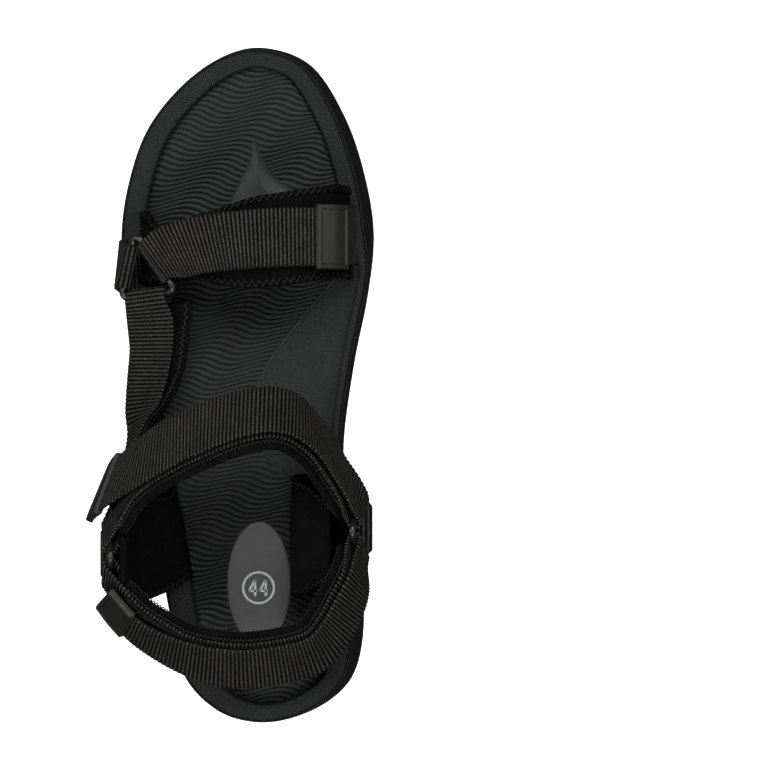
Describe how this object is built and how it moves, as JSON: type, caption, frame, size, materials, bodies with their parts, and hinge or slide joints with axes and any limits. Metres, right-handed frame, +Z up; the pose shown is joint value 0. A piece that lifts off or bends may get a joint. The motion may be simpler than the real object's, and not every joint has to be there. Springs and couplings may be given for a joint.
{
  "type": "sport sandal",
  "caption": "Left sport sandal: layered sole, padded forefoot, instep and heel webbing straps that fold through triangular rings and close with hook-and-loop flaps and pull tabs.",
  "frame": {"origin": "middle of the overall box, on the ground under the outsole", "axes": "+X to the inner (big toe) side, +Y heel to toe, +Z up"},
  "size_m": [0.125, 0.2994, 0.101],
  "materials": {
    "rubber": "matte moulded rubber",
    "foam": "matte moulded foam with a fine knurl",
    "footbed": "satin moulded foam with raised waves",
    "webbing": "ribbed woven webbing",
    "padding": "soft brushed knit over foam",
    "patch": "hook-and-loop tape",
    "plastic": "smooth moulded plastic",
    "tab": "soft moulded rubber with a raised border"
  },
  "bodies": {
    "sandal": {"outsole": "rubber", "midsole": "foam", "footbed": "footbed", "forefoot_ring": "plastic", "inner_ankle_ring": "plastic", "outer_ankle_ring": "plastic", "forefoot_strap_base": "webbing", "forefoot_loop_patch": "patch", "forefoot_pad": "padding", "instep_strap_base": "webbing", "instep_loop_patch": "patch", "instep_pad": "padding", "heel_strap_base": "webbing", "heel_loop_patch": "patch", "heel_pad": "padding", "forefoot_anchor": "webbing", "inner_ankle_anchor": "webbing", "outer_ankle_anchor": "webbing", "side_strap": "webbing", "side_strap_lining": "padding", "inner_quarter_lining": "padding", "outer_quarter_lining": "padding"},
    "forefoot_flap": {"forefoot_flap": "webbing"},
    "forefoot_tip": {"forefoot_flap_tip": "webbing", "forefoot_hook_patch": "patch", "forefoot_tab": "tab"},
    "instep_flap": {"instep_flap": "webbing"},
    "instep_tip": {"instep_flap_tip": "webbing", "instep_hook_patch": "patch", "instep_tab": "tab"},
    "heel_flap": {"heel_flap": "webbing"},
    "heel_tip": {"heel_flap_tip": "webbing", "heel_hook_patch": "patch", "heel_tab": "tab"}
  },
  "joints": [
    {"name": "forefoot_peel", "type": "hinge", "parent": "sandal", "child": "forefoot_flap", "pos_m": [-0.0335, 0.0532, 0.04812], "axis": [0.5754, -0.811, 0.1062], "range_deg": [0, 100]},
    {"name": "forefoot_tip_lift", "type": "hinge", "parent": "forefoot_flap", "child": "forefoot_tip", "pos_m": [0.01853, 0.06364, 0.06358], "axis": [0.0337, -0.9908, 0.1313], "range_deg": [0, 60]},
    {"name": "instep_peel", "type": "hinge", "parent": "sandal", "child": "instep_flap", "pos_m": [0.05891, -0.05261, 0.06794], "axis": [0.1831, 0.5058, -0.843], "range_deg": [0, 100]},
    {"name": "instep_tip_lift", "type": "hinge", "parent": "instep_flap", "child": "instep_tip", "pos_m": [-0.0355, -0.03067, 0.07561], "axis": [0.11, 0.9106, -0.3983], "range_deg": [0, 60]},
    {"name": "heel_peel", "type": "hinge", "parent": "sandal", "child": "heel_flap", "pos_m": [0.05909, -0.06987, 0.0677], "axis": [-0.1819, 0.5066, 0.8428], "range_deg": [0, 100]},
    {"name": "heel_tip_lift", "type": "hinge", "parent": "heel_flap", "child": "heel_tip", "pos_m": [-0.02426, -0.11503, 0.06243], "axis": [0.1723, 0.5623, 0.8088], "range_deg": [0, 60]}
  ]
}
